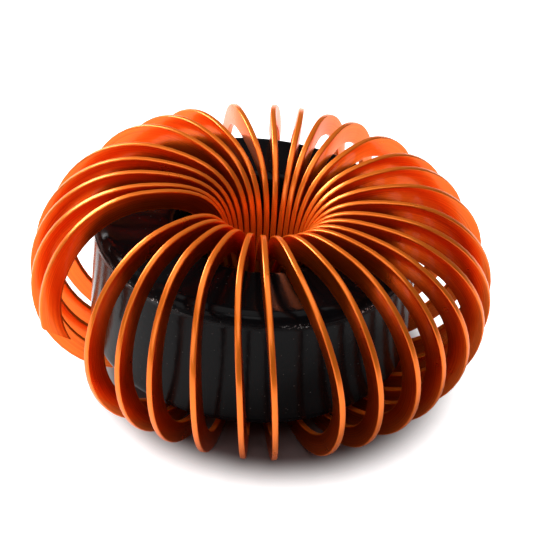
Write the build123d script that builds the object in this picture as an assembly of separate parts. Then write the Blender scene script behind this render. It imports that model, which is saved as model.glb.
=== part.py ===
from build123d import *
import os
from math import cos, radians, sin, tan

# Toroidal inductor: an epoxy-coated ring core inside one continuous coil of flat
# copper strip, wound on edge. Millimetres, +Z up. The coil lies on the plane z = 0,
# and the origin is on the coil's axis.

# Ring core
core_diameter = 63.2
core_bore = 31.5
core_height = 26.0
core_edge_radius = 2.4

# Fine ridge of coating round the core's outside
ridge_below_top = 2.2
ridge_height = 0.16
ridge_width = 0.7

# Wide side of the copper strip, which lies across the turn
strip_width = 4.2

# Clearances from the core's faces to the edge of the strip that faces them
gap_outside = 9.4
gap_in_bore = 4.9
gap_above = 4.4
gap_below = 2.0
crown_offset = 1.1

# How full a turn's corners are: a circle has 0.5523, and a square has 1
fullness_outside = 0.5523
fullness_above_bore = 0.76
fullness_below_bore = 0.79

# The core lies to one side in the turns
core_offset = 1.9
core_offset_azimuth = 146.4

# Azimuth where the first turn crosses the top, and the uneven steps to the others
first_top = 222.0
steps_between_tops = (
    8, 9, 10, 12, 10, 12, 13, 11, 10, 8,
    10, 10, 12, 14, 13, 10, 14, 13, 10, 8,
    12, 13, 14, 9, 11, 16, 12, 11, 11, 6,
)
spare_step = 10.0

# In the bore the turns lie side by side, which settles how thick the strip can be
first_in_bore = 210.0
step_in_bore = 10.8
clearance_between_turns = 0.1

# Advance of a turn past its top, and how far the outside of each one leans over
advance_to_underside = 8.1
leans_outside = (
    1, 3, 3, 4, 3, 1, 5, 2, 2, 1, 4, 5, 4, 1, 1, 0,
    -1, -3, -2, -4, 2, -6, -4, 1, 3, 3, 5, 5, 3, 1, 6,
)
lean_left_below = 0.17

# Flat cuts at the ends of the strip: the share of its quarter turn where each one lies,
# and the angle that shortens its outward edge
start_cut = 0.15
start_slant = 0.0
end_cut = 0.2
end_slant = 50.0

core_bottom = strip_width + gap_below
turn_half_height = (gap_below + core_height + gap_above + strip_width) / 2
turn_centre_height = turn_half_height + strip_width / 2
crown_radius = (core_diameter + core_bore) / 4 + crown_offset
outside_reach = core_diameter / 2 + gap_outside + strip_width / 2 - crown_radius
innermost_radius = core_bore / 2 - gap_in_bore - strip_width
bore_reach = crown_radius - innermost_radius - strip_width / 2
strip_thickness = innermost_radius * radians(step_in_bore) - clearance_between_turns

# A turn has four quarters, and each begins at one of these places
in_bore, at_top, outside, underneath = range(4)
quarters = 4


def make_core():
    """Ring of rounded rectangular section, with a fine ridge round its outside."""
    outer = core_diameter / 2
    middle = (core_diameter + core_bore) / 4
    section = Rectangle((core_diameter - core_bore) / 2, core_height)
    section = Pos(middle, core_height / 2) * fillet(section.vertices(), core_edge_radius)
    ridge_level = core_height - ridge_below_top
    ridge = Polyline(
        (outer - ridge_height, ridge_level - ridge_width / 2),
        (outer + ridge_height, ridge_level),
        (outer - ridge_height, ridge_level + ridge_width / 2),
        close=True,
    )
    ring = revolve(Plane.XZ * (section + make_face(ridge)), Axis.Z)
    azimuth = radians(core_offset_azimuth)
    return Pos(core_offset * cos(azimuth), core_offset * sin(azimuth), core_bottom) * ring


def quarter_azimuths():
    """Azimuths of the strip at the start of each quarter, in degrees.

    A spare turn before the first and one after the last carry the line past both ends.
    """
    tops = [first_top - spare_step, first_top]
    for step in steps_between_tops:
        tops.append(tops[-1] + step)
    tops.append(tops[-1] + spare_step)
    leans = leans_outside[:1] + leans_outside + leans_outside[-1:]
    azimuths = []
    for turn, (top, lean) in enumerate(zip(tops, leans)):
        azimuths.append(first_in_bore + step_in_bore * (turn - 1))
        azimuths.append(top)
        azimuths.append(top + advance_to_underside / 2 + lean)
        azimuths.append(top + advance_to_underside + lean * lean_left_below)
    return azimuths


azimuths = quarter_azimuths()


def corner_at(quarter, outward, side):
    """A corner of the strip where a quarter begins, with the pulls of the curves there.

    Outward is the corner's distance from the strip's middle line, and side its wide face.
    The pulls are those of the curve that arrives and of the one that leaves.
    """
    place = quarter % quarters
    azimuth = radians(azimuths[quarter])
    sway = radians(azimuths[quarter + 1] - azimuths[quarter - 1]) / 6
    radial = Vector(cos(azimuth), sin(azimuth), 0)
    around = Vector(-sin(azimuth), cos(azimuth), 0)
    up = Vector(0, 0, 1)
    rise = turn_half_height + outward
    if place == in_bore:
        radius = crown_radius - bore_reach - outward
        height = turn_centre_height
        across = -radial
        arriving = up * (rise * fullness_below_bore)
        leaving = up * (rise * fullness_above_bore)
    elif place == outside:
        radius = crown_radius + outside_reach + outward
        height = turn_centre_height
        across = radial
        arriving = up * (-rise * fullness_outside)
        leaving = arriving
    else:
        sign = 1 if place == at_top else -1
        radius = crown_radius
        height = turn_centre_height + sign * rise
        across = up * sign
        fullness = fullness_above_bore if sign > 0 else fullness_below_bore
        bore_pull = radial * (sign * (bore_reach + outward) * fullness)
        outside_pull = radial * (sign * (outside_reach + outward) * fullness_outside)
        arriving, leaving = (bore_pull, outside_pull) if sign > 0 else (outside_pull, bore_pull)
    sideways = around * (radius * sway)
    arriving += sideways
    leaving += sideways
    face_normal = (arriving + leaving).cross(across).normalized()
    point = radial * radius + up * height + face_normal * (side * strip_thickness / 2)
    return point, arriving, leaving


def corner_line(quarter, outward, side):
    """Curve along one corner of the strip, over a quarter of a turn."""
    start, _, leaving = corner_at(quarter, outward, side)
    end, arriving, _ = corner_at(quarter + 1, outward, side)
    return Edge.make_bezier(start, start + leaving, end - arriving, end)


def cut_across(quarter, share, slant):
    """Plane of a flat cut through the strip, facing along it."""
    outward_edge = corner_line(quarter, strip_width / 2, 0) @ share
    inward_edge = corner_line(quarter, -strip_width / 2, 0) @ share
    middle = corner_line(quarter, 0, 0)
    along = middle % share
    across = (outward_edge - inward_edge) - along * along.dot(outward_edge - inward_edge)
    return Plane(middle @ share, z_dir=along + across.normalized() * tan(radians(slant)))


def make_coil():
    """The strip as one solid, a quarter turn at a time, with flat cuts at its ends."""
    edge = strip_width / 2
    corners = ((edge, 1), (edge, -1), (-edge, -1), (-edge, 1))
    first = quarters + in_bore - 1
    last = first + quarters * len(steps_between_tops) + outside + 1
    faces = []
    for quarter in range(first, last + 1):
        lines = [corner_line(quarter, outward, side) for outward, side in corners]
        if quarter == first:
            start = cut_across(quarter, start_cut, start_slant)
            lines = [line.split(start, keep=Keep.TOP) for line in lines]
            faces.append(make_face(Polyline([line @ 0 for line in lines], close=True)))
        if quarter == last:
            end = cut_across(quarter, end_cut, end_slant)
            # A slanted cut can meet a whole quarter twice, so only its beginning is cut
            lines = [line.trim(0, 2 * end_cut).split(end, keep=Keep.BOTTOM) for line in lines]
            faces.append(make_face(Polyline([line @ 1 for line in lines], close=True)))
        for line, following in zip(lines, lines[1:] + lines[:1]):
            faces.append(Face.make_surface_from_curves(line, following))
    return Solid(Shell(faces))


os.makedirs("parts", exist_ok=True)
for name, solid in (("core", make_core()), ("coil", make_coil())):
    export_step(solid, f"parts/{name}.step")
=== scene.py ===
import math

import bpy
from mathutils import Matrix, Vector


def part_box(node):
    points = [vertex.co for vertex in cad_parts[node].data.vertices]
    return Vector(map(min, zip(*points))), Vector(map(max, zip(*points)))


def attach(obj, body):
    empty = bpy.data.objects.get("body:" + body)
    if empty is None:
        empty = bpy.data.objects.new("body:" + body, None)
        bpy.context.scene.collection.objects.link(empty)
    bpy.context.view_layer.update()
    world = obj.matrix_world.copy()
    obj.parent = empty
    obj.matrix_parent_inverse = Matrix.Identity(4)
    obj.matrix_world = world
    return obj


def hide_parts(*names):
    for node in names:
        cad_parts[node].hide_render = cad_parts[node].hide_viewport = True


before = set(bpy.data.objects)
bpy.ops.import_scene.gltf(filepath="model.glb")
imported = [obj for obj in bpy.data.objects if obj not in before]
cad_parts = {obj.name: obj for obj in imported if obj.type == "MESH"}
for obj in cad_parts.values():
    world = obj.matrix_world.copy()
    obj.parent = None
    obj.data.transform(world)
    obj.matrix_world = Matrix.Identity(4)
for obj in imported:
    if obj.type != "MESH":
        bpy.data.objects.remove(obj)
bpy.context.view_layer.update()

# Ring core. A pressed powder ring, sealed in black epoxy that was sprayed on and baked,
# so its skin is glossy with a faint orange peel. A fine ridge runs round its outside just
# below the top, in a band of rough coating with bright flecks in it.
core_low, core_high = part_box("core")
core_centre = (core_low + core_high) / 2
core_ridge_height = 0.00016
core_radius = (core_high.x - core_low.x) / 2 - core_ridge_height
core_bore_radius = 0.01575
core_edge_radius = 0.0024
core_ridge_below_top = 0.0022
core_ridge_level = core_high.z - core_ridge_below_top
core_ridge_half_width = 0.00035
core_band_half_width = 0.0011
# The share of its width over which the band is at its roughest
core_band_full_share = 0.3
core_segments = 288
core_longest_step = 0.0009
core_wave_height = 0.00004
core_wave_size = 0.007


def core_outline():
    """The ring's section as (radius, height) points from the middle of its top face."""
    corner_steps = 10
    ridge_steps = 8
    outline = [((core_radius + core_bore_radius) / 2, core_high.z)]
    # The middle of each corner's arc, and the quarter of a circle that the arc covers
    corners = (
        (core_bore_radius + core_edge_radius, core_high.z - core_edge_radius, 1),
        (core_bore_radius + core_edge_radius, core_low.z + core_edge_radius, 2),
        (core_radius - core_edge_radius, core_low.z + core_edge_radius, 3),
        (core_radius - core_edge_radius, core_high.z - core_edge_radius, 0),
    )
    for radius, height, quarter in corners:
        if quarter == 0:
            # The ridge sits where the side begins to round over into the top
            for step in range(ridge_steps + 1):
                place = step / ridge_steps * 2 - 1
                swell = core_ridge_height * (math.cos(place * math.pi) + 1) / 2
                level = core_ridge_level + place * core_ridge_half_width
                inside = max(0, level - height)
                bulge = math.sqrt(core_edge_radius ** 2 - inside ** 2) - core_edge_radius
                outline.append((core_radius + bulge + swell, level))
        for step in range(corner_steps + 1):
            angle = math.radians(90) * (quarter + step / corner_steps)
            level = height + core_edge_radius * math.sin(angle)
            if quarter == 0 and level <= core_ridge_level + core_ridge_half_width:
                continue
            outline.append((radius + core_edge_radius * math.cos(angle), level))
    divided = []
    for start, end in zip(outline, outline[1:] + outline[:1]):
        count = math.ceil(math.dist(start, end) / core_longest_step)
        for step in range(count):
            share = step / count
            divided.append((
                start[0] + (end[0] - start[0]) * share,
                start[1] + (end[1] - start[1]) * share,
                0,
            ))
    return divided


def add_node(tree, kind, inputs=None, **properties):
    """A node with its properties set, and its inputs linked or given a plain value."""
    node = tree.nodes.new(kind)
    for name, value in properties.items():
        setattr(node, name, value)
    for name, value in (inputs or {}).items():
        socket = node.inputs[name]
        if isinstance(value, bpy.types.NodeSocket):
            tree.links.new(value, socket)
        else:
            socket.default_value = value
    return node


def add_sockets(tree, direction, sockets):
    """Named sockets on a node group, each with its kind."""
    for name, kind in sockets.items():
        tree.interface.new_socket(name=name, in_out=direction, socket_type="NodeSocket" + kind)


def calc(tree, operation, *numbers):
    """The result of one step of arithmetic, in a node tree."""
    node = add_node(tree, "ShaderNodeMath", dict(enumerate(numbers)), operation=operation)
    return node.outputs["Value"]


def scaled(tree, vector, factor):
    """A vector times a number, in a node tree."""
    node = add_node(tree, "ShaderNodeVectorMath", {0: vector, "Scale": factor}, operation="SCALE")
    return node.outputs["Vector"]


def added(tree, first, second):
    """The sum of two vectors, in a node tree."""
    node = add_node(tree, "ShaderNodeVectorMath", {0: first, 1: second}, operation="ADD")
    return node.outputs["Vector"]


def noise(tree, where, scale, detail, roughness=0.5):
    """Cloudy noise between 0 and 1, with so many clouds per metre."""
    return add_node(tree, "ShaderNodeTexNoise", {
        "Vector": where,
        "Scale": scale,
        "Detail": detail,
        "Roughness": roughness,
    }).outputs["Fac"]


def store(tree, geometry, name, value, kind="FLOAT_VECTOR"):
    """Geometry whose points keep a value under a name, so that a sweep carries it along."""
    return add_node(tree, "GeometryNodeStoreNamedAttribute", {
        "Geometry": geometry,
        "Name": name,
        "Value": value,
    }, data_type=kind, domain="POINT").outputs["Geometry"]


def stored(tree, name, kind="FLOAT_VECTOR"):
    """The value that points keep under a name."""
    node = add_node(tree, "GeometryNodeInputNamedAttribute", {"Name": name}, data_type=kind)
    return next(
        socket for socket in node.outputs if socket.name == "Attribute" and socket.enabled
    )


def end_tree(tree, geometry, material):
    """Gives a geometry tree its last steps: smooth faces, a plain mesh and the finish."""
    smooth = add_node(tree, "GeometryNodeSetShadeSmooth", {"Geometry": geometry})
    realized = add_node(tree, "GeometryNodeRealizeInstances", {
        "Geometry": smooth.outputs["Geometry"],
    })
    painted = add_node(tree, "GeometryNodeSetMaterial", {
        "Geometry": realized.outputs["Geometry"],
        "Material": material,
    })
    add_node(tree, "NodeGroupOutput", {"Geometry": painted.outputs["Geometry"]})


core_tree = bpy.data.node_groups.new("Ring turned from its section", "GeometryNodeTree")
add_sockets(core_tree, "INPUT", {
    "Section": "Geometry",
    "Segments": "Int",
    "Centre": "Vector",
    "Wave Height": "Float",
    "Waves per Metre": "Float",
    "Material": "Material",
})
add_sockets(core_tree, "OUTPUT", {"Geometry": "Geometry"})
given = add_node(core_tree, "NodeGroupInput")
position = add_node(core_tree, "GeometryNodeInputPosition").outputs["Position"]
path = add_node(core_tree, "GeometryNodeCurvePrimitiveCircle", {
    "Resolution": given.outputs["Segments"],
    "Radius": 1.0,
})
path = store(core_tree, path.outputs["Curve"], "direction", position)
section = add_node(core_tree, "GeometryNodeMeshToCurve", {"Mesh": given.outputs["Section"]})
section = store(core_tree, section.outputs["Curve"], "section", position)
swept = add_node(core_tree, "GeometryNodeCurveToMesh", {"Curve": path, "Profile Curve": section})
on_section = add_node(core_tree, "ShaderNodeSeparateXYZ", {
    "Vector": stored(core_tree, "section"),
})
outward = scaled(core_tree, stored(core_tree, "direction"), on_section.outputs["X"])
upward = add_node(core_tree, "ShaderNodeCombineXYZ", {"Z": on_section.outputs["Y"]})
place = added(core_tree, outward, upward.outputs["Vector"])
placed = add_node(core_tree, "GeometryNodeSetPosition", {
    "Geometry": swept.outputs["Mesh"],
    "Position": added(core_tree, place, given.outputs["Centre"]),
})
swing = noise(core_tree, position, scale=given.outputs["Waves per Metre"], detail=1.0)
swing = calc(core_tree, "SUBTRACT", swing, 0.5)
swing = calc(core_tree, "MULTIPLY", swing, given.outputs["Wave Height"])
normal = add_node(core_tree, "GeometryNodeInputNormal").outputs["Normal"]
waved = add_node(core_tree, "GeometryNodeSetPosition", {
    "Geometry": placed.outputs["Geometry"],
    "Offset": scaled(core_tree, normal, swing),
})
# The circle and the section run so that the sweep's faces point into the ring
turned = add_node(core_tree, "GeometryNodeFlipFaces", {"Mesh": waved.outputs["Geometry"]})
end_tree(core_tree, turned.outputs["Mesh"], given.outputs["Material"])


def mapped(tree, value, start, end, low=0.0, high=1.0, kind="LINEAR"):
    """A number brought from one range to another, and kept inside it."""
    return add_node(tree, "ShaderNodeMapRange", {
        "Value": value,
        "From Min": start,
        "From Max": end,
        "To Min": low,
        "To Max": high,
    }, interpolation_type=kind).outputs["Result"]


# Shared by both coats: a skin that flowed before it set, with dimples and a little dust
skin = bpy.data.node_groups.new("Flowed skin", "ShaderNodeTree")
add_sockets(skin, "INPUT", {
    "Dimples per Metre": "Float",
    "Dimple Depth": "Float",
    "Roughness": "Float",
    "Roughness Swing": "Float",
})
add_sockets(skin, "OUTPUT", {"Normal": "Vector", "Roughness": "Float", "Dust": "Float"})
given = add_node(skin, "NodeGroupInput")
where = add_node(skin, "ShaderNodeTexCoord").outputs["Object"]
bump = add_node(skin, "ShaderNodeBump", {
    "Strength": 1.0,
    "Distance": given.outputs["Dimple Depth"],
    "Height": noise(
        skin, where, scale=given.outputs["Dimples per Metre"], detail=2.0, roughness=0.4,
    ),
})
rough = calc(
    skin, "MULTIPLY_ADD",
    noise(skin, where, scale=160.0, detail=4.0),
    given.outputs["Roughness Swing"],
    given.outputs["Roughness"],
)
specks = add_node(skin, "ShaderNodeTexVoronoi", {"Vector": where, "Scale": 700.0})
add_node(skin, "NodeGroupOutput", {
    "Normal": bump.outputs["Normal"],
    "Roughness": rough,
    "Dust": mapped(skin, specks.outputs["Distance"], start=0.12, end=0.03),
})


def mixed(tree, share, first, second):
    """A colour on the way from one colour to another."""
    # The node has other sockets with the names of its colours, so these go by number
    first_colour, second_colour, result = 6, 7, 2
    node = add_node(tree, "ShaderNodeMix", {
        "Factor": share,
        first_colour: first,
        second_colour: second,
    }, data_type="RGBA")
    return node.outputs[result]


def ramp(tree, share, *stops):
    """A colour from a ramp between two stops, each a position and a colour."""
    node = add_node(tree, "ShaderNodeValToRGB", {"Fac": share})
    for element, (position, colour) in zip(node.color_ramp.elements, stops):
        element.position = position
        element.color = colour
    return node.outputs["Color"]


def new_material(name):
    """A material whose node tree is still empty."""
    material = bpy.data.materials.new(name)
    material.use_nodes = True
    material.node_tree.nodes.clear()
    return material


core_material = new_material("core_coating")
tree = core_material.node_tree
coat = add_node(tree, "ShaderNodeGroup", {
    "Dimples per Metre": 1100.0,
    "Dimple Depth": 0.000022,
    "Roughness": 0.1,
    "Roughness Swing": 0.12,
}, node_tree=skin)
where = add_node(tree, "ShaderNodeTexCoord").outputs["Object"]
level = add_node(tree, "ShaderNodeSeparateXYZ", {"Vector": where}).outputs["Z"]
off_ridge = calc(tree, "ABSOLUTE", calc(tree, "SUBTRACT", level, core_ridge_level))
band = mapped(
    tree, off_ridge,
    start=core_band_half_width,
    end=core_band_half_width * core_band_full_share,
)
grit = calc(tree, "MULTIPLY", noise(tree, where, scale=2600.0, detail=3.0), band)
grit_bump = add_node(tree, "ShaderNodeBump", {
    "Strength": 1.0,
    "Distance": 0.0001,
    "Height": grit,
    "Normal": coat.outputs["Normal"],
})
# The highest grit shines through, in some stretches of the band and not in others
patches = mapped(tree, noise(tree, where, scale=75.0, detail=2.0), start=0.5, end=0.6)
flecks = calc(tree, "MULTIPLY", mapped(tree, grit, start=0.56, end=0.62), patches)
colour = ramp(
    tree, noise(tree, where, scale=90.0, detail=5.0),
    (0.0, (0.002, 0.002, 0.0025, 1)),
    (1.0, (0.006, 0.006, 0.007, 1)),
)
colour = mixed(tree, coat.outputs["Dust"], colour, (0.06, 0.055, 0.05, 1))
surface = add_node(tree, "ShaderNodeBsdfPrincipled", {
    "Base Color": mixed(tree, flecks, colour, (0.5, 0.49, 0.48, 1)),
    "Metallic": flecks,
    "Roughness": calc(tree, "MULTIPLY_ADD", band, 0.15, coat.outputs["Roughness"]),
    "Normal": grit_bump.outputs["Normal"],
    "IOR": 1.5,
    "Specular IOR Level": 0.07,
})
add_node(tree, "ShaderNodeOutputMaterial", {"Surface": surface.outputs["BSDF"]})


def new_piece(name, vertices, edges=(), faces=()):
    """A piece at the origin, from its vertices and its edges or faces."""
    mesh = bpy.data.meshes.new(name)
    mesh.from_pydata(vertices, edges, faces)
    piece = bpy.data.objects.new(name, mesh)
    bpy.context.scene.collection.objects.link(piece)
    return piece


def run_tree(piece, tree, values):
    """Runs a geometry tree on a piece and keeps the result as its plain mesh."""
    modifier = piece.modifiers.new(tree.name, "NODES")
    modifier.node_group = tree
    for item in tree.interface.items_tree:
        if item.item_type == "SOCKET" and item.in_out == "INPUT" and item.name in values:
            modifier[item.identifier] = values[item.name]
    bpy.context.view_layer.update()
    evaluated = piece.evaluated_get(bpy.context.evaluated_depsgraph_get())
    mesh = bpy.data.meshes.new_from_object(evaluated)
    mesh.name = piece.name
    piece.modifiers.clear()
    piece.data = mesh


outline = core_outline()
core = new_piece("core", outline, [
    (index, (index + 1) % len(outline)) for index in range(len(outline))
])
run_tree(core, core_tree, {
    "Segments": core_segments,
    "Centre": (core_centre.x, core_centre.y, 0),
    "Wave Height": core_wave_height,
    "Waves per Metre": 1 / core_wave_size,
    "Material": core_material,
})
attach(core, "root")
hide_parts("core")

# Coil. One length of flat copper strip, wound on edge round the ring and coated in clear
# orange enamel. The turns stand clear of the core outside, lean as they pass, and lie side
# by side in the bore. The strip's last end is cut off on a slant.
strip_width = 0.0042
strip_corner_radius = 0.00028
strip_corner_points = 4
# Clearances from the core's faces to the edge of the strip that faces them
gap_outside = 0.0094
gap_in_bore = 0.0049
gap_above = 0.0044
gap_below = 0.002
crown_offset = 0.0011
# How full a turn's corners are: a circle has 0.5523, and a square has 1
fullness_outside = 0.5523
fullness_above_bore = 0.76
fullness_below_bore = 0.79
# Azimuth in degrees where the first turn crosses the top, and the steps to the others
first_top = 222.0
steps_between_tops = (
    8, 9, 10, 12, 10, 12, 13, 11, 10, 8,
    10, 10, 12, 14, 13, 10, 14, 13, 10, 8,
    12, 13, 14, 9, 11, 16, 12, 11, 11, 6,
)
spare_step = 10.0
# In the bore the turns lie side by side, which settles how thick the strip can be
first_in_bore = 210.0
step_in_bore = 10.8
clearance_between_turns = 0.0001
# Advance of a turn past its top, and how far the outside of each one leans over
advance_to_underside = 8.1
leans_outside = (
    1, 3, 3, 4, 3, 1, 5, 2, 2, 1, 4, 5, 4, 1, 1, 0,
    -1, -3, -2, -4, 2, -6, -4, 1, 3, 3, 5, 5, 3, 1, 6,
)
lean_left_below = 0.17
# Where each end is cut, as a share of its quarter turn, and the slant of the cut
start_cut = 0.15
start_slant = 0.0
end_cut = 0.2
end_slant = 50.0
samples_in_quarter = 14
half_width = strip_width / 2
turn_half_height = (core_high.z - core_low.z + gap_below + gap_above + strip_width) / 2
turn_centre_height = turn_half_height + half_width
crown_radius = (core_radius + core_bore_radius) / 2 + crown_offset
outside_reach = core_radius + gap_outside + half_width - crown_radius
innermost_radius = core_bore_radius - gap_in_bore - strip_width
bore_reach = crown_radius - innermost_radius - half_width
strip_thickness = innermost_radius * math.radians(step_in_bore) - clearance_between_turns
strip_corners = ((half_width, 1), (half_width, -1), (-half_width, -1), (-half_width, 1))

# A turn has four quarters, and each begins at one of these places
in_bore, at_top, outside, underneath = range(4)
quarters = 4


def quarter_azimuths():
    """Azimuths of the strip where each quarter turn begins, with a spare turn at each end."""
    tops = [first_top - spare_step, first_top]
    for step in steps_between_tops:
        tops.append(tops[-1] + step)
    tops.append(tops[-1] + spare_step)
    leans = leans_outside[:1] + leans_outside + leans_outside[-1:]
    found = []
    for turn, (top, lean) in enumerate(zip(tops, leans)):
        found.append(first_in_bore + step_in_bore * (turn - 1))
        found.append(top)
        found.append(top + advance_to_underside / 2 + lean)
        found.append(top + advance_to_underside + lean * lean_left_below)
    return found


azimuths = quarter_azimuths()


def corner_at(quarter, outward, side):
    """A corner of the strip where a quarter begins, and the pulls of the curves there."""
    place = quarter % quarters
    azimuth = math.radians(azimuths[quarter])
    sway = math.radians(azimuths[quarter + 1] - azimuths[quarter - 1]) / 6
    radial = Vector((math.cos(azimuth), math.sin(azimuth), 0))
    around = Vector((-math.sin(azimuth), math.cos(azimuth), 0))
    up = Vector((0, 0, 1))
    rise = turn_half_height + outward
    if place == in_bore:
        radius = crown_radius - bore_reach - outward
        height = turn_centre_height
        across = -radial
        arriving = up * (rise * fullness_below_bore)
        leaving = up * (rise * fullness_above_bore)
    elif place == outside:
        radius = crown_radius + outside_reach + outward
        height = turn_centre_height
        across = radial
        arriving = up * (-rise * fullness_outside)
        leaving = arriving
    else:
        sign = 1 if place == at_top else -1
        radius = crown_radius
        height = turn_centre_height + sign * rise
        across = up * sign
        fullness = fullness_above_bore if sign > 0 else fullness_below_bore
        bore_pull = radial * (sign * (bore_reach + outward) * fullness)
        outside_pull = radial * (sign * (outside_reach + outward) * fullness_outside)
        arriving, leaving = (bore_pull, outside_pull) if sign > 0 else (outside_pull, bore_pull)
    sideways = around * (radius * sway)
    arriving = arriving + sideways
    leaving = leaving + sideways
    face_normal = (arriving + leaving).cross(across).normalized()
    point = radial * radius + up * height + face_normal * (side * strip_thickness / 2)
    return point, arriving, leaving


def corner_point(quarter, outward, side, share):
    """A place on the curve along one corner of the strip, over a quarter of a turn."""
    start, _, leaving = corner_at(quarter, outward, side)
    end, arriving, _ = corner_at(quarter + 1, outward, side)
    rest = 1 - share
    return (
        start * rest ** 3
        + (start + leaving) * (3 * rest ** 2 * share)
        + (end - arriving) * (3 * rest * share ** 2)
        + end * share ** 3
    )


def shares_at_cut(quarter, share, slant):
    """Share of the quarter at which each corner of the strip meets a flat cut."""
    short_step = 0.0001
    halvings = 30
    middle = corner_point(quarter, 0, 0, share)
    along = (corner_point(quarter, 0, 0, share + short_step) - middle).normalized()
    outward_edge = corner_point(quarter, half_width, 0, share)
    across = outward_edge - corner_point(quarter, -half_width, 0, share)
    across = (across - along * along.dot(across)).normalized()
    facing = along + across * math.tan(math.radians(slant))
    found = []
    for outward, side in strip_corners:
        low, high = 0.0, 2 * share
        for _ in range(halvings):
            half = (low + high) / 2
            if (corner_point(quarter, outward, side, half) - middle).dot(facing) < 0:
                low = half
            else:
                high = half
        found.append(half)
    return found


first_quarter = quarters + in_bore - 1
last_quarter = first_quarter + quarters * len(steps_between_tops) + outside + 1
middles = []
outwards = []
sideways = []
for quarter in range(first_quarter, last_quarter + 1):
    starts = [0.0] * len(strip_corners)
    ends = [1.0] * len(strip_corners)
    steps = samples_in_quarter
    if quarter == first_quarter:
        starts = shares_at_cut(quarter, start_cut, start_slant)
    if quarter == last_quarter:
        ends = shares_at_cut(quarter, end_cut, end_slant)
        # Every other quarter leaves its last point to the one that follows
        steps += 1
    for step in range(steps):
        share = step / samples_in_quarter
        a, b, c, d = (
            corner_point(quarter, outward, side, start + (end - start) * share)
            for (outward, side), start, end in zip(strip_corners, starts, ends)
        )
        middles.append((a + b + c + d) / 4)
        outwards.append((a + b - c - d) / 4)
        sideways.append((a - b - c + d) / 4)
along = [0.0]
for before, after in zip(middles, middles[1:]):
    along.append(along[-1] + (after - before).length)

# Every point of the path carries the strip's half width and half thickness there, as
# vectors, and every point of the section carries its shares of them
coil_tree = bpy.data.node_groups.new("Strip along its path", "GeometryNodeTree")
add_sockets(coil_tree, "INPUT", {
    "Path": "Geometry",
    "Width": "Float",
    "Thickness": "Float",
    "Corner Radius": "Float",
    "Corner Points": "Int",
    "Material": "Material",
})
add_sockets(coil_tree, "OUTPUT", {"Geometry": "Geometry"})
given = add_node(coil_tree, "NodeGroupInput")
position = add_node(coil_tree, "GeometryNodeInputPosition").outputs["Position"]
path = add_node(coil_tree, "GeometryNodeMeshToCurve", {"Mesh": given.outputs["Path"]})
path = store(coil_tree, path.outputs["Curve"], "middle", position)
section = add_node(coil_tree, "GeometryNodeCurvePrimitiveQuadrilateral", {
    "Width": given.outputs["Width"],
    "Height": given.outputs["Thickness"],
})
section = add_node(coil_tree, "GeometryNodeFilletCurve", {
    "Curve": section.outputs["Curve"],
    "Radius": given.outputs["Corner Radius"],
    "Count": given.outputs["Corner Points"],
}, mode="POLY").outputs["Curve"]
on_section = add_node(coil_tree, "ShaderNodeSeparateXYZ", {"Vector": position})
for name, axis, size in (("across", "X", "Width"), ("side", "Y", "Thickness")):
    half_size = calc(coil_tree, "DIVIDE", given.outputs[size], 2.0)
    share = calc(coil_tree, "DIVIDE", on_section.outputs[axis], half_size)
    section = store(coil_tree, section, name, share, "FLOAT")
swept = add_node(coil_tree, "GeometryNodeCurveToMesh", {
    "Curve": path,
    "Profile Curve": section,
    "Fill Caps": True,
})
place = stored(coil_tree, "middle")
for name, share in (("outwards", "across"), ("sideways", "side")):
    offset = scaled(coil_tree, stored(coil_tree, name), stored(coil_tree, share, "FLOAT"))
    place = added(coil_tree, place, offset)
placed = add_node(coil_tree, "GeometryNodeSetPosition", {
    "Geometry": swept.outputs["Mesh"],
    "Position": place,
})
end_tree(coil_tree, placed.outputs["Geometry"], given.outputs["Material"])

# Copper under enamel: redder on the wide faces, and a lighter orange at the thin edges
coil_material = new_material("enamelled_copper")
tree = coil_material.node_tree
coat = add_node(tree, "ShaderNodeGroup", {
    "Dimples per Metre": 500.0,
    "Dimple Depth": 0.00002,
    "Roughness": 0.22,
    "Roughness Swing": 0.16,
}, node_tree=skin)
across_strip = add_node(tree, "ShaderNodeAttribute", attribute_name="across").outputs["Fac"]
along_strip = add_node(tree, "ShaderNodeAttribute", attribute_name="along").outputs["Fac"]
edge = mapped(tree, calc(tree, "ABSOLUTE", across_strip), start=0.86, end=0.97)
# Fine lines that the drawing die and the winding tool left along the strip
stretched = add_node(tree, "ShaderNodeCombineXYZ", {"X": across_strip, "Y": along_strip})
stretched = add_node(tree, "ShaderNodeMapping", {
    "Vector": stretched.outputs["Vector"],
    "Scale": (14.0, 40.0, 1.0),
})
face_colour = ramp(
    tree, noise(tree, stretched.outputs["Vector"], scale=1.0, detail=4.0),
    (0.3, (0.6, 0.08, 0.006, 1)),
    (0.7, (0.84, 0.15, 0.012, 1)),
)
surface = add_node(tree, "ShaderNodeBsdfPrincipled", {
    "Base Color": mixed(tree, edge, face_colour, (0.95, 0.19, 0.012, 1)),
    # The enamel gathers at the edges, where it hides more of the metal
    "Metallic": mapped(tree, edge, start=0.0, end=1.0, low=0.95, high=0.55),
    "Roughness": coat.outputs["Roughness"],
    "Normal": coat.outputs["Normal"],
    "Specular Tint": (1.0, 0.6, 0.45, 1),
    "Coat Weight": 0.2,
    "Coat Roughness": 0.08,
})
add_node(tree, "ShaderNodeOutputMaterial", {"Surface": surface.outputs["BSDF"]})

coil = new_piece("coil", middles, [(index, index + 1) for index in range(len(middles) - 1)])
for name, vectors in (("outwards", outwards), ("sideways", sideways)):
    attribute = coil.data.attributes.new(name, "FLOAT_VECTOR", "POINT")
    attribute.data.foreach_set("vector", [number for vector in vectors for number in vector])
attribute = coil.data.attributes.new("along", "FLOAT", "POINT")
attribute.data.foreach_set("value", along)
run_tree(coil, coil_tree, {
    "Width": strip_width,
    "Thickness": strip_thickness,
    "Corner Radius": strip_corner_radius,
    "Corner Points": strip_corner_points,
    "Material": coil_material,
})
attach(coil, "root")
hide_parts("coil")

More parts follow.
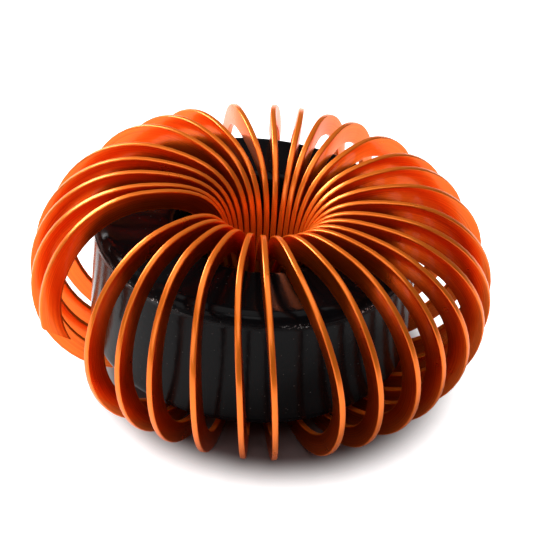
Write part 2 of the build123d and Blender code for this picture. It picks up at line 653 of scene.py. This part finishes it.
# Stage. A sheet of white paper, lit and made to glow for the camera and the metal, so
# that they see it plain white. Under the part and between the feet of the turns a painted
# shade darkens its colour and holds back its glow; it also keeps the part's real shadow.
floor_half = 3.0
floor = new_piece("floor", [
    (-floor_half, -floor_half, 0),
    (floor_half, -floor_half, 0),
    (floor_half, floor_half, 0),
    (-floor_half, floor_half, 0),
], faces=[(0, 1, 2, 3)])
floor_material = new_material("paper")
tree = floor_material.node_tree
where = add_node(tree, "ShaderNodeTexCoord").outputs["Object"]


def clear_of_painted_shade(tree, where, centre, start, end):
    """Painted shade's mask: 0 within a distance of a point on the floor, 1 past a greater one."""
    distance = add_node(tree, "ShaderNodeVectorMath", {0: where, 1: centre}, operation="DISTANCE")
    return mapped(tree, distance.outputs["Value"], start, end, kind="SMOOTHSTEP")


# Masks of the painted shade on the floor: the first for what the camera sees, the second for what
# the metal reflects
clear = clear_of_painted_shade(tree, where, (0.003, -0.003, 0), start=0.028, end=0.041)
clear_of_painted_shade_in_metal = clear_of_painted_shade(tree, where, (0.016, -0.008, 0), start=0.034, end=0.050)
# The paper's colour is painted dark under the coil, a painted shade
paper = add_node(tree, "ShaderNodeBsdfDiffuse", {
    "Color": mixed(tree, clear, (0.16, 0.13, 0.13, 1), (0.85, 0.84, 0.84, 1)),
})
# The glow is held back under the coil too, so the painted shade shows to the camera and in
# reflections
seen = add_node(tree, "ShaderNodeLightPath")
glow = add_node(tree, "ShaderNodeEmission", {
    "Strength": calc(
        tree, "ADD",
        calc(tree, "MULTIPLY", seen.outputs["Is Camera Ray"], clear),
        calc(tree, "MULTIPLY", seen.outputs["Is Glossy Ray"], clear_of_painted_shade_in_metal),
    ),
})
both = add_node(tree, "ShaderNodeAddShader", {
    0: paper.outputs["BSDF"],
    1: glow.outputs["Emission"],
})
add_node(tree, "ShaderNodeOutputMaterial", {"Surface": both.outputs["Shader"]})
floor.data.materials.append(floor_material)

# Light. A dim white room with four soft lamps. The strongest stands at the back left, so
# the faces of the turns that look to the right stay deep red.
world = bpy.data.worlds.new("room")
bpy.context.scene.world = world
world.use_nodes = True
backdrop = world.node_tree.nodes["Background"]
backdrop.inputs["Color"].default_value = (1, 1, 1, 1)
backdrop.inputs["Strength"].default_value = 0.12
lamp_target = Vector((0, 0, 0.02))
for name, place, size, power in (
    ("overhead", (0.0, 0.02, 0.5), 0.45, 1.0),
    ("front", (-0.02, -0.36, 0.5), 0.2, 0.35),
    ("left_card", (-0.42, -0.5, 0.35), 0.4, 0.9),
    ("back_left", (-0.45, 0.42, 0.4), 0.4, 6.5),
):
    light = bpy.data.lights.new(name, "AREA")
    light.shape = "SQUARE"
    light.size = size
    light.energy = power
    lamp = bpy.data.objects.new(name, light)
    lamp.location = place
    lamp.rotation_euler = (lamp_target - Vector(place)).to_track_quat("-Z", "Y").to_euler()
    bpy.context.scene.collection.objects.link(lamp)

# Camera. A long lens, placed where the outline of the core and the lines of the turns fall
# on those of the photograph.
camera_place = Vector((-0.001585, -0.344130, 0.265380))
camera_aim = Vector((0.002687, 0.001054, 0.019535))
camera_roll = 0.1004
camera_lens = 140.77
sight = (camera_aim - camera_place).normalized()
level_right = sight.cross(Vector((0, 0, 1))).normalized()
level_up = level_right.cross(sight)
right = level_right * math.cos(camera_roll) + level_up * math.sin(camera_roll)
up = level_up * math.cos(camera_roll) - level_right * math.sin(camera_roll)
camera_data = bpy.data.cameras.new("camera")
camera_data.lens = camera_lens
camera_data.sensor_width = 36.0
camera_data.clip_start = 0.01
camera = bpy.data.objects.new("camera", camera_data)
camera.matrix_world = Matrix((
    (right.x, up.x, -sight.x, camera_place.x),
    (right.y, up.y, -sight.y, camera_place.y),
    (right.z, up.z, -sight.z, camera_place.z),
    (0, 0, 0, 1),
))
bpy.context.scene.collection.objects.link(camera)
bpy.context.scene.camera = camera
bpy.context.scene.view_settings.view_transform = "Standard"
